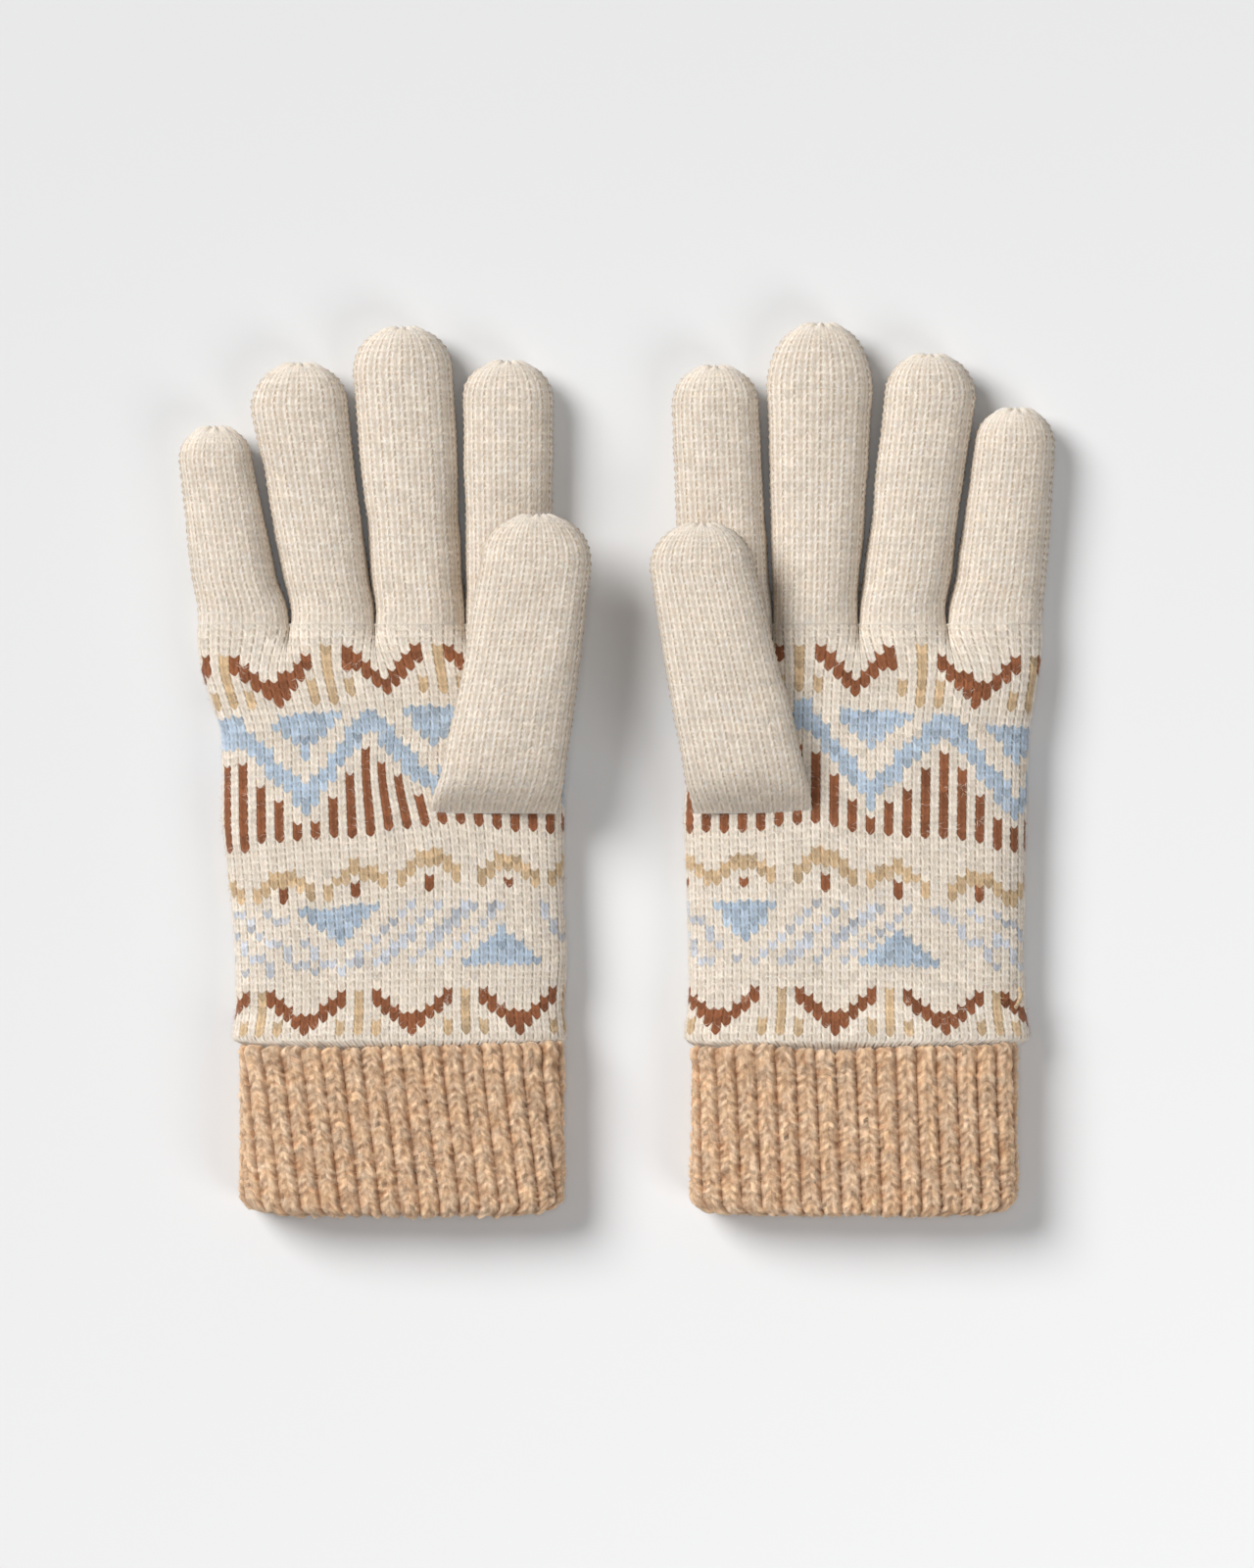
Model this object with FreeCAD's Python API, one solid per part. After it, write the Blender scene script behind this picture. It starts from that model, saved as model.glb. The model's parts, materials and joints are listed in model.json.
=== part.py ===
# A pair of knitted gloves lying flat, palms up. Every length is in millimetres.
# +X is to the right, +Y towards the fingertips and +Z up from the table. The origin is the middle
# of the pair, on the table.
import FreeCAD
import Part
import math
import os

os.makedirs("parts", exist_ok=True)

# Driving dimensions
HAND_THICKNESS = 16.0     # the hand as it lies, with its own spring holding it open
KNUCKLE_THICKNESS = 14.6  # the hand where the fingers leave it
FINGER_THICKNESS = 14.0
THUMB_THICKNESS = 12.0
CUFF_THICKNESS = 18.0
WALL = 1.8                # one layer of the plain knitting
RIB_OUTER = 2.2           # the turned-back layer of the rib
RIB_INNER = 2.0           # the layer of rib under it
RIB_GAP = 0.8             # room between the two layers for the elastic yarn
CLEAR = 0.3               # half the gap at each fold line
AXIS_LIFT = 0.3           # a fold's axis lies this far above the cloth
CUFF_BOTTOM_Y = -120.7    # the fold at the wrist end
CUFF_TOP_Y = -76.0        # the free edge of the turned-back layer
SEAM_Y = -81.0            # where hand and rib are linked, under the turned-back layer
KNUCKLE_Y = 38.5          # the fold line at the foot of the fingers
THUMB_FOLD_Y = -12.6      # the fold line at the foot of the thumb
THUMB_LIFT = 0.4          # gap between the thumb and the palm under it
SLOT_WIDTH = 25.0         # the hole in the palm that the thumb is knitted on to
SLOT_LENGTH = 9.0
SLOT_LOW_Y = -11.0
YARN = 1.2                # the drawn-in yarn, the linking and the darning
TIP_ANGLES = (20.0, 38.0, 54.0, 68.0)

# Rows where each contrast yarn is carried across the inside of the hand
FLOAT_ROWS = {
    "brown_yarn_floats": (28.0, 23.0, -15.0, -19.5, -62.0, -69.0),
    "blue_yarn_floats": (14.0, 8.0, 2.0, -41.0, -47.0, -53.0),
    "ochre_yarn_floats": (31.0, 20.0, -26.0, -31.0, -59.0, -65.5),
}

# Each hand is (y, middle x, width) from the linked edge up to the knuckles.
# Each digit is the middle and width at its foot, the middle and width where its end starts to
# round over, that y, and the y of its very end. "folds" are the y of the fold lines along it.
GLOVES = {
    "right": {
        "hand": (
            (-73.4, -58.9, 87.7),
            (-50.0, -58.7, 89.3),
            (-18.0, -60.5, 90.9),
            (10.0, -60.8, 91.4),
            (25.0, -63.7, 95.8),
            (38.2, -65.35, 95.7),
        ),
        "cuff": (-58.3, 86.4),
        "digits": {
            "little": {"foot": (-101.05, 24.3), "top": (-108.2, 20.95), "top_y": 83.0,
                       "end_y": 92.6, "folds": (KNUCKLE_Y, 64.0)},
            "ring": {"foot": (-76.85, 22.3), "top": (-85.85, 27.1), "top_y": 97.3,
                     "end_y": 109.8, "folds": (KNUCKLE_Y, 71.5)},
            "middle": {"foot": (-53.3, 23.85), "top": (-58.0, 28.15), "top_y": 106.6,
                       "end_y": 119.6, "folds": (KNUCKLE_Y, 76.0)},
            "index": {"foot": (-29.15, 23.4), "top": (-29.7, 25.9), "top_y": 98.5,
                      "end_y": 110.4, "folds": (71.5, 91.5)},
        },
        "thumb": {"foot": (-32.2, 34.5), "top": (-21.5, 29.7), "top_y": 55.0,
                  "end_y": 68.5, "folds": (THUMB_FOLD_Y, 30.0)},
    },
    "left": {
        "hand": (
            (-73.4, 64.9, 90.0),
            (-50.0, 65.0, 90.0),
            (-18.0, 64.5, 91.4),
            (10.0, 64.8, 92.0),
            (25.0, 65.7, 95.4),
            (38.2, 66.1, 97.2),
        ),
        "cuff": (64.1, 86.9),
        "digits": {
            "little": {"foot": (102.1, 25.2), "top": (107.35, 22.7), "top_y": 87.0,
                       "end_y": 97.6, "folds": (KNUCKLE_Y, 66.0)},
            "ring": {"foot": (77.1, 23.3), "top": (84.4, 26.2), "top_y": 100.0,
                     "end_y": 112.2, "folds": (KNUCKLE_Y, 72.5)},
            "middle": {"foot": (53.65, 22.5), "top": (54.85, 29.9), "top_y": 101.5,
                       "end_y": 120.7, "folds": (KNUCKLE_Y, 76.0)},
            "index": {"foot": (29.7, 24.4), "top": (26.5, 24.9), "top_y": 97.5,
                      "end_y": 109.1, "folds": (71.0, 91.0)},
        },
        "thumb": {"foot": (36.7, 34.5), "top": (22.7, 28.0), "top_y": 53.5,
                  "end_y": 66.1, "folds": (THUMB_FOLD_Y, 29.0)},
    },
}


def section(y, middle, width, low, high):
    """A flat tube's outline at one y: flat above and below, with round sides."""
    r = (high - low) / 2.0
    half = max(width / 2.0 - r, 0.3)
    a = FreeCAD.Vector(middle - half, y, low)
    b = FreeCAD.Vector(middle + half, y, low)
    c = FreeCAD.Vector(middle + half + r, y, low + r)
    d = FreeCAD.Vector(middle + half, y, high)
    e = FreeCAD.Vector(middle - half, y, high)
    f = FreeCAD.Vector(middle - half - r, y, low + r)
    edges = [
        Part.LineSegment(a, b).toShape(),
        Part.Arc(b, c, d).toShape(),
        Part.LineSegment(d, e).toShape(),
        Part.Arc(e, f, a).toShape(),
    ]
    return Part.Wire(edges)


def loft(sections):
    return Part.makeLoft([section(*s) for s in sections], True, True)


def inset(sections, wall):
    """The same sections, smaller by one wall all round."""
    return [(y, m, w - 2 * wall, low + wall, high - wall) for y, m, w, low, high in sections]


def block(x0, x1, y0, y1, z0, z1):
    return Part.makeBox(x1 - x0, y1 - y0, z1 - z0, FreeCAD.Vector(x0, y0, z0))


def rod(x, y, z, r, length, way):
    return Part.makeCylinder(r, length, FreeCAD.Vector(x, y, z), way)


def ring(y, length, middle, width, low, high, thick):
    """A flat band that follows a tube's outline."""
    outer = loft([(y, middle, width, low, high), (y + length, middle, width, low, high)])
    inner_width = width - 2 * thick
    inner = loft([
        (y - 1, middle, inner_width, low + thick, high - thick),
        (y + length + 1, middle, inner_width, low + thick, high - thick),
    ])
    return outer.cut(inner)


def save(name, shape):
    shape.exportStep("parts/" + name + ".step")
    box = shape.BoundBox
    print(name, len(shape.Solids), "solids", round(shape.Volume), "mm3",
          [round(v, 2) for v in (box.XMin, box.XMax, box.YMin, box.YMax, box.ZMin, box.ZMax)])


def between(y, y0, v0, y1, v1):
    return v0 + (v1 - v0) * (y - y0) / (y1 - y0)


def digit_at(digit, foot_y, y):
    """A digit's middle and width at y, on the straight run between its foot and its top."""
    middle = between(y, foot_y, digit["foot"][0], digit["top_y"], digit["top"][0])
    width = between(y, foot_y, digit["foot"][1], digit["top_y"], digit["top"][1])
    return middle, width


def hand_at(hand, y):
    """The hand's middle and width at y."""
    for low, high in zip(hand, hand[1:]):
        if low[0] <= y <= high[0]:
            middle = between(y, low[0], low[1], high[0], high[1])
            return middle, between(y, low[0], low[2], high[0], high[2])
    return hand[0][1], hand[0][2]


def straight(digit, foot_y, y0, y1, low, high):
    """The sections of an open length of a digit."""
    return [(y,) + digit_at(digit, foot_y, y) + (low, high) for y in (y0, y1)]


def open_tube(sections):
    """A length of a digit, open at both ends."""
    inner = inset(sections, WALL)
    first, last = inner[0], inner[-1]
    inner = [(first[0] - 1,) + first[1:]] + inner[1:-1] + [(last[0] + 1,) + last[1:]]
    return loft(sections).cut(loft(inner))


def closed_tip(digit, foot_y, y0, low, high):
    """The end of a digit, rounded over, with the small hole that its last loops are drawn into."""
    top_y, end_y = digit["top_y"], digit["end_y"]
    middle, width = digit["top"]
    thick = high - low
    sections = [(y0,) + digit_at(digit, foot_y, y0) + (low, high), (top_y, middle, width, low, high)]
    for angle in TIP_ANGLES:
        a = math.radians(angle)
        y = top_y + (end_y - YARN - top_y) * math.sin(a) / math.sin(math.radians(TIP_ANGLES[-1]))
        w = max(width * math.cos(a), thick * 0.7)
        t = thick * math.cos(a) ** 0.6
        sections.append((y, middle, w, low + (thick - t) / 2, high - (thick - t) / 2))
    inner = inset(sections, WALL)
    last = inner.pop()
    inner.append((last[0] - WALL,) + last[1:])
    inner[0] = (y0 - 1,) + inner[0][1:]
    shell = loft(sections).cut(loft([s for s in inner if s[0] <= last[0] - WALL]))
    way = FreeCAD.Vector(0, 1, 0)
    knot_y = last[0] - WALL - 1.0
    knot = rod(middle, knot_y, (low + high) / 2, 2.0, end_y - knot_y, way)
    return shell.cut(knot), knot


def thumb_foot(digit, y1, low, high):
    """The thumb from its foot to its fold: round at the foot, open underneath to the palm."""
    steps = ((-12.3, 3.2), (-11.2, 6.8), (-9.2, 9.4), (-6.0, 11.3), (-2.0, high - low))
    sections = []
    for y, thick in steps:
        middle, width = digit_at(digit, THUMB_FOLD_Y, y)
        shrink = (high - low - thick) * 0.25
        sections.append((y, middle, width - shrink, low, low + thick))
    sections.append((y1,) + digit_at(digit, THUMB_FOLD_Y, y1) + (low, high))
    hollow = [(-10.4, 2.4), (-9.0, 5.2), (-6.0, 7.4), (-2.0, high - low - 2 * WALL)]
    inner = []
    for y, thick in hollow:
        middle, width = digit_at(digit, THUMB_FOLD_Y, y)
        inner.append((y, middle, width - 2 * WALL - 1.0, low + WALL, low + WALL + thick))
    middle, width = digit_at(digit, THUMB_FOLD_Y, y1)
    inner.append((y1 + 1, middle, width - 2 * WALL, low + WALL, high - WALL))
    x = digit_at(digit, THUMB_FOLD_Y, -6.0)[0]
    mouth = block(x - SLOT_WIDTH / 2 + 1, x + SLOT_WIDTH / 2 - 1, -10.0, -3.0, low - 1, low + WALL + 0.5)
    return loft(sections).cut(loft(inner)).cut(mouth)


for side, glove in GLOVES.items():
    hand = glove["hand"]
    cuff_x, cuff_w = glove["cuff"]
    thumb = glove["thumb"]
    thumb_low = HAND_THICKNESS + THUMB_LIFT
    thumb_high = thumb_low + THUMB_THICKNESS
    slot_x = digit_at(thumb, THUMB_FOLD_Y, SLOT_LOW_Y + SLOT_LENGTH / 2)[0]

    # The hand: a flat tube that narrows into the cuff, with a hole for each finger and the thumb.
    neck_w = cuff_w - 2 * RIB_OUTER - 2 * CLEAR
    neck_low = RIB_OUTER + CLEAR
    neck_high = CUFF_THICKNESS - RIB_OUTER - CLEAR
    outer = [(SEAM_Y, cuff_x, neck_w, neck_low, neck_high)]
    outer.append((CUFF_TOP_Y + 0.3, cuff_x, neck_w, neck_low, neck_high))
    for y, middle, width in hand[:-1]:
        outer.append((y, middle, width, -0.4, HAND_THICKNESS))
    y, middle, width = hand[-1]
    outer.append((y, middle, width, -0.4, KNUCKLE_THICKNESS))
    hollow = []
    for y, middle, width, low, high in outer[:-1]:
        hollow.append((y, middle, width - 2 * WALL, max(low, 0) + WALL, high - WALL))
    middle, width = hand_at(hand, y - WALL)
    hollow.append((hand[-1][0] - WALL, middle, width - 2 * WALL, WALL, KNUCKLE_THICKNESS - WALL))
    hollow[0] = (SEAM_Y - 1,) + hollow[0][1:]
    shell = loft(outer).cut(block(-130, 130, -130, 130, -5, 0)).cut(loft(hollow))
    forks = []
    feet = []
    for name, digit in glove["digits"].items():
        middle, width = digit["foot"]
        feet.append((middle - width / 2, middle + width / 2))
        mouth = loft(inset([(36.0, middle, width, 0, FINGER_THICKNESS),
                            (39.0, middle, width, 0, FINGER_THICKNESS)], WALL))
        shell = shell.cut(mouth)
    feet.sort()
    for near, far in zip(feet, feet[1:]):
        x = (near[1] + far[0]) / 2
        forks.append(rod(x, hand[-1][0] - 0.9, 2.0, 0.8, 10.0, FreeCAD.Vector(0, 0, 1)))
    fork_darning = Part.makeCompound(forks)
    slot = block(slot_x - SLOT_WIDTH / 2 - YARN, slot_x + SLOT_WIDTH / 2 + YARN,
                 SLOT_LOW_Y - YARN, SLOT_LOW_Y + SLOT_LENGTH + YARN,
                 HAND_THICKNESS - WALL - 0.5, HAND_THICKNESS + 1)
    shell = shell.cut(slot)
    for fork in forks:
        shell = shell.cut(fork)
    save(side + "_hand", shell)
    save(side + "_finger_fork_darning", fork_darning)

    # The loops picked up round the thumb hole.
    join = block(slot_x - SLOT_WIDTH / 2 - YARN, slot_x + SLOT_WIDTH / 2 + YARN,
                 SLOT_LOW_Y - YARN, SLOT_LOW_Y + SLOT_LENGTH + YARN,
                 HAND_THICKNESS - WALL, HAND_THICKNESS)
    join = join.cut(block(slot_x - SLOT_WIDTH / 2, slot_x + SLOT_WIDTH / 2,
                          SLOT_LOW_Y, SLOT_LOW_Y + SLOT_LENGTH,
                          HAND_THICKNESS - WALL - 1, HAND_THICKNESS + 1))
    save(side + "_thumb_join", join)

    # The rib cuff: a sleeve turned back on itself, so it is two layers with a fold at the wrist.
    top = (CUFF_TOP_Y, cuff_x, cuff_w, 0, CUFF_THICKNESS)
    fold = (CUFF_BOTTOM_Y + 1.4, cuff_x, cuff_w, 0, CUFF_THICKNESS)
    edge = (CUFF_BOTTOM_Y, cuff_x, cuff_w - 2.4, 1.2, CUFF_THICKNESS - 1.2)
    layer_w = cuff_w - 2 * RIB_OUTER
    between_layers = loft([
        (CUFF_BOTTOM_Y + 2.5, cuff_x, layer_w, RIB_OUTER, CUFF_THICKNESS - RIB_OUTER),
        (CUFF_TOP_Y + 1, cuff_x, layer_w, RIB_OUTER, CUFF_THICKNESS - RIB_OUTER),
    ])
    sleeve_w = layer_w - 2 * RIB_GAP
    sleeve_low = RIB_OUTER + RIB_GAP
    sleeve_high = CUFF_THICKNESS - sleeve_low
    mouth_w = sleeve_w - 2 * RIB_INNER
    mouth = loft([
        (CUFF_BOTTOM_Y - 1, cuff_x, mouth_w, sleeve_low + RIB_INNER, sleeve_high - RIB_INNER),
        (SEAM_Y, cuff_x, mouth_w, sleeve_low + RIB_INNER, sleeve_high - RIB_INNER),
    ])
    turned_back = loft([edge, fold, top]).cut(between_layers).cut(mouth)
    save(side + "_cuff_turned_back", turned_back)
    under = loft([
        (CUFF_BOTTOM_Y + 2.5, cuff_x, sleeve_w, sleeve_low, sleeve_high),
        (SEAM_Y - YARN, cuff_x, sleeve_w, sleeve_low, sleeve_high),
    ]).cut(mouth)
    save(side + "_cuff_under_layer", under)
    link = ring(SEAM_Y - YARN, YARN, cuff_x, sleeve_w, sleeve_low, sleeve_high, RIB_INNER)
    save(side + "_cuff_linking", link)
    elastic = []
    for n in range(6):
        elastic.append(ring(CUFF_BOTTOM_Y + 5.0 + 5.8 * n, 1.0, cuff_x, layer_w - 0.2,
                            RIB_OUTER + 0.1, CUFF_THICKNESS - RIB_OUTER - 0.1, RIB_GAP - 0.2))
    save(side + "_cuff_elastic", Part.makeCompound(elastic))

    # The contrast yarns lie across the inside of the hand between their stitches.
    for name, rows in FLOAT_ROWS.items():
        strands = []
        for y in rows:
            middle, width = hand_at(hand, y)
            high = min(HAND_THICKNESS, between(y, 25.0, HAND_THICKNESS, 38.2, KNUCKLE_THICKNESS))
            strands.append(ring(y, 0.9, middle, width - 2 * WALL - 3.2,
                                WALL + 0.1, high - WALL - 0.5, 0.6))
        save(side + "_" + name, Part.makeCompound(strands))

    # The four fingers. Each is one knitted tube, parted here at its fold lines.
    for name, digit in glove["digits"].items():
        first, second = digit["folds"]
        label = side + "_" + name
        foot_y = KNUCKLE_Y
        if first > KNUCKLE_Y:
            root = open_tube(straight(digit, foot_y, hand[-1][0], first - CLEAR, 0, FINGER_THICKNESS))
            save(label + "_foot", root)
        lower = open_tube(straight(digit, foot_y, first + CLEAR, second - CLEAR, 0, FINGER_THICKNESS))
        save(label + "_lower", lower)
        tip, knot = closed_tip(digit, foot_y, second + CLEAR, 0, FINGER_THICKNESS)
        save(label + "_tip", tip)
        save(label + "_tip_gather", knot)

    # The thumb lies over the palm, open to it underneath at its foot.
    first, second = thumb["folds"]
    lower = thumb_foot(thumb, second - CLEAR, thumb_low, thumb_high)
    save(side + "_thumb_lower", lower)
    tip, knot = closed_tip(thumb, THUMB_FOLD_Y, second + CLEAR, thumb_low, thumb_high)
    save(side + "_thumb_tip", tip)
    save(side + "_thumb_tip_gather", knot)

# The short end of yarn left at the edge of one hand.
tail = rod(106.6, -65.0, 15.2, 0.5, 5.5, FreeCAD.Vector(0, 1, 0))
save("left_yarn_tail", tail)
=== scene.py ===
# %% [markdown]
# # A pair of knitted gloves
# Two wool gloves lie flat with their palms up. Each hand is a tube of plain knitting with a
# coloured pattern, the fingers and the thumb are smaller tubes of the same stitch, and the cuff
# is a rib that is turned back on itself. Nearly everything we see is yarn, so this lesson builds
# real stitches: one grid of small faces per tube, pushed in and out to make the loops.
# The frame below holds the measured model. It gives every place and size used in the lesson.

# %% Load the measured model
import json
import math
import bpy
import numpy as np
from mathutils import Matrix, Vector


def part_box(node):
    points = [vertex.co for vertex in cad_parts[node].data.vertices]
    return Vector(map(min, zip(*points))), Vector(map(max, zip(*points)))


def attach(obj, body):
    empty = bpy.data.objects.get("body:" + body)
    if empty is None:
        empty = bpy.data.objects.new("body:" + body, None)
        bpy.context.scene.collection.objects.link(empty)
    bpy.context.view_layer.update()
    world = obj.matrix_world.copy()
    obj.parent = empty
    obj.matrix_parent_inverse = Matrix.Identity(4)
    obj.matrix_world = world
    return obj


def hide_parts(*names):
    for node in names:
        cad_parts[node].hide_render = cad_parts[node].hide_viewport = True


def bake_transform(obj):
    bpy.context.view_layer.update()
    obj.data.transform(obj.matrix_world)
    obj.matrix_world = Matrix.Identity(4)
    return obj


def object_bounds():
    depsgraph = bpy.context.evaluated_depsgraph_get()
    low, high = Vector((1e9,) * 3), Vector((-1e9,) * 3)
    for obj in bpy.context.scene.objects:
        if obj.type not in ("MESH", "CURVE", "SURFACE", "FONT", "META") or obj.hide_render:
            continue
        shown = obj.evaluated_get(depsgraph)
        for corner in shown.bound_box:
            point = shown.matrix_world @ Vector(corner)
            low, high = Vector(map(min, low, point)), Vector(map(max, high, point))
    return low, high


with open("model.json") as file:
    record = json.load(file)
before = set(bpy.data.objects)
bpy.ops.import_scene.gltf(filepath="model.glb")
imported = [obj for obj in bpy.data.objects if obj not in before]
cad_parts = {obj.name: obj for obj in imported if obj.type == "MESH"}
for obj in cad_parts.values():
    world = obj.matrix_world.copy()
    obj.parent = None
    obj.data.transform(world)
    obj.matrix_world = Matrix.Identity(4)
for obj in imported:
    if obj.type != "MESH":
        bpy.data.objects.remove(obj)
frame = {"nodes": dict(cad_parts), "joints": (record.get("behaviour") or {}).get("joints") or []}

CAD_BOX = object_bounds()
print("pieces in the measured model:", len(frame["nodes"]), "box:", CAD_BOX)

# %% [markdown]
# ## Measuring the model
# A soft glove doesn't follow straight lines, but its outline must stay on the measured one. We
# could type the widths in again, but then a change of the model would leave the cloth behind.
# Instead we cut the measured pieces with a plane and read off how far the cut reaches. Lengths
# are in millimetres from here on, because a stitch is two or three of them.

# %% Cut the measured pieces across
def edges_of(node):
    mesh = frame["nodes"][node].data
    co = np.empty(len(mesh.vertices) * 3)
    mesh.vertices.foreach_get("co", co)
    ends = np.empty(len(mesh.edges) * 2, int)
    mesh.edges.foreach_get("vertices", ends)
    co = co.reshape(-1, 3) * 1000
    ends = ends.reshape(-1, 2)
    return co[ends[:, 0]], co[ends[:, 1]]


def cut_across(node, y):
    """Left, right, low and high of a measured piece where a plane at y cuts it."""
    a, b = edges_of(node)
    hit = ((a[:, 1] - y) * (b[:, 1] - y) <= 0) & (abs(a[:, 1] - b[:, 1]) > 1e-6)
    a, b = a[hit], b[hit]
    p = a + (b - a) * ((y - a[:, 1]) / (b[:, 1] - a[:, 1]))[:, None]
    return p[:, 0].min(), p[:, 0].max(), p[:, 2].min(), p[:, 2].max()


def node_box(node):
    low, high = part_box(node)
    return [v * 1000 for v in low], [v * 1000 for v in high]


def joint_y(name):
    return [j for j in frame["joints"] if j["name"] == name][0]["pos_m"][1] * 1000


KNUCKLE = joint_y("right_little_foot_fold")
THUMB_BASE = joint_y("right_thumb_lift")
print("fingers start at", KNUCKLE, "mm, the thumb at", THUMB_BASE, "mm")

# %% [markdown]
# ## The section of a soft tube
# Lying on a table, a knitted tube is nearly flat underneath, rounds over at its sides and puffs
# up on top. A superellipse does this with two numbers: a power of 2 is an ellipse, and larger
# powers are boxier. We walk along the curve in equal steps, so every wale (a column of
# stitches) gets the same length of cloth and the ones at the sides turn away from us, as real
# ones do. Column 0 is the left edge, the first half of the columns is the top face.

# %% Points round one section
STEPS = np.linspace(0, 1, 161)


def half_section(power):
    angle = math.pi * (1 - STEPS)
    c, s = np.cos(angle), np.sin(angle)
    return np.sign(c) * abs(c) ** (2 / power), abs(s) ** (2 / power)


def round_section(left, right, low, high, where, top_power, under_power):
    """x and z at each place round the tube; places run from 0 to 1, left over the top to right."""
    middle, half = (left + right) / 2, (right - left) / 2
    waist = low + (high - low) * 0.47
    x = np.empty(len(where))
    z = np.empty(len(where))
    for upper, power, rise in ((True, top_power, high - waist), (False, under_power, low - waist)):
        cx, cz = half_section(power)
        px, pz = middle + half * cx, waist + rise * cz
        run = np.concatenate([[0], np.cumsum(np.hypot(np.diff(px), np.diff(pz)))])
        run /= run[-1]
        mine = (where < 0.5) if upper else (where >= 0.5)
        t = where[mine] * 2 if upper else 2 - where[mine] * 2
        x[mine] = np.interp(t, run, px)
        z[mine] = np.interp(t, run, pz)
    return x, z


print("a 91 by 16 mm section reaches x", round_section(0, 91, 0, 16, np.array([0, .25, .5]), 2.9, 4)[0])

# %% [markdown]
# ## Soft unevenness
# No two stitches of a brushed wool yarn are alike, and the cloth has slow hills and hollows. We
# could use a texture for both, but the outline would stay straight. This helper makes smooth
# noise on the grid itself: a coarse table of random numbers, read with soft steps in between.

# %% Smooth noise on the grid
def soft_noise(u, v, wrap, cells_u, step_v, seed):
    """Smooth numbers from -1 to 1; u repeats after wrap, v doesn't repeat."""
    r = np.random.default_rng(seed)
    table = r.uniform(-1, 1, (400, cells_u))
    a = (u / wrap * cells_u) % cells_u
    b = np.clip(v / step_v + 3, 0, 395)
    ia, ib = np.floor(a).astype(int), np.floor(b).astype(int)
    fa, fb = a - ia, b - ib
    fa, fb = fa * fa * (3 - 2 * fa), fb * fb * (3 - 2 * fb)
    ja = (ia + 1) % cells_u
    top = table[ib, ia] * (1 - fa) + table[ib, ja] * fa
    low = table[ib + 1, ia] * (1 - fa) + table[ib + 1, ja] * fa
    return top * (1 - fb) + low * fb


def smooth(t):
    t = np.clip(t, 0, 1)
    return t * t * (3 - 2 * t)


print("noise sample:", round(float(soft_noise(np.array([3.0]), np.array([5.0]), 72, 9, 8, 1)[0]), 3))

# %% [markdown]
# ## One knitted stitch
# A plain stitch shows two legs that lean apart into a V. Each V sits in the one below it, so the
# rows aren't straight lines but zigzags: high at the edges of a wale and low at its middle. We
# shear the rows of the grid to follow that zigzag. Then the coloured stitches get the ragged
# edge of real knitting, and each leg can be pushed out as a small pad with a dark pit beside it.
# Five columns and four rows of faces per stitch are enough for two legs and a pit.

# %% The zigzag of the rows and the relief of the legs
COLS = 5
ROWS = 4
COURSE = 2.096          # height of a stitch in mm
STEP = COURSE / ROWS    # height of a face
FINGER_WALES = 20
THUMB_WALES = 24
WALES = 80              # round the hand
HAND_COURSES = 57


def zigzag(columns):
    """How far a row's zigzag stands above its lowest point, in courses."""
    across = (np.arange(columns) % COLS) / COLS
    return 0.58 * abs(2 * across - 1)


def leg_relief(rows, columns, seed, inner):
    """Relief of the stitches from about -0.6 to 1; inner is how high the legs are where they meet."""
    s = ((np.arange(columns) % COLS) / COLS)[None, :]
    t = ((np.arange(rows) % ROWS) / ROWS)[:, None]
    leg = np.where(abs(s - 0.5) < 0.15, inner, 1.0)
    swell = 0.70 + 0.30 * np.sin(np.pi * t) ** 0.7
    relief = leg * swell
    relief = np.where(s < 0.01, 0.7 - 1.35 * np.sin(np.pi * t) ** 2, relief)
    r = np.random.default_rng(seed)
    wales, courses = columns // COLS, rows // ROWS + 2
    each = r.uniform(0.82, 1.12, (courses, wales * 2))
    each[0] = 0.9
    row, col = np.arange(rows) // ROWS, (np.arange(columns) * 2) // COLS
    return relief * each[row][:, col]


print("relief over one stitch:", np.round(leg_relief(4, COLS, 1, 0.9)[2], 2))

# %% [markdown]
# ## From grid to cloth
# Every tube below goes the same way. We make a plain grid of places, slide the rows along the
# tube for the zigzag, find which way is out, push the stitches out that way and hand the points
# to Blender. Two things are stored on the mesh for the finish: the yarn's colour on each face,
# and how deep in the knitting each point lies, from which the finish paints shade into the pits.

# %% Helpers that turn a grid into a mesh
def slide_rows(grid, shift):
    """Reads the grid at row + shift, between rows too."""
    rows, columns = grid.shape[:2]
    at = np.clip(np.arange(rows)[:, None] + shift, 0, rows - 1.001)
    i = np.floor(at).astype(int)
    f = (at - i)[..., None]
    c = np.arange(columns)[None, :]
    return grid[i, c] * (1 - f) + grid[i + 1, c] * f


def outward(grid):
    """Unit vectors out of a closed tube, rows away from the start, columns to the right on top."""
    along = np.gradient(grid, axis=0)
    around = np.roll(grid, -1, axis=1) - np.roll(grid, 1, axis=1)
    n = np.cross(along, around)
    size = np.linalg.norm(n, axis=2, keepdims=True)
    return n / np.maximum(size, 1e-9)


def soften(field, passes=2):
    """Averages with the neighbours, so that outward directions don't jump."""
    for _ in range(passes):
        field = (field + np.roll(field, 1, 1) + np.roll(field, -1, 1)) / 3
        inner = (field[:-2] + field[1:-1] + field[2:]) / 3
        field = np.concatenate([field[:1], inner, field[-1:]])
    return field


def add_object(name, data):
    obj = bpy.data.objects.new(name, data)
    bpy.context.scene.collection.objects.link(obj)
    return obj


def add_mesh(name, points, faces):
    """A new piece from points in mm."""
    mesh = bpy.data.meshes.new(name)
    mesh.from_pydata((points * 0.001).tolist(), [], faces)
    return add_object(name, mesh)


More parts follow.
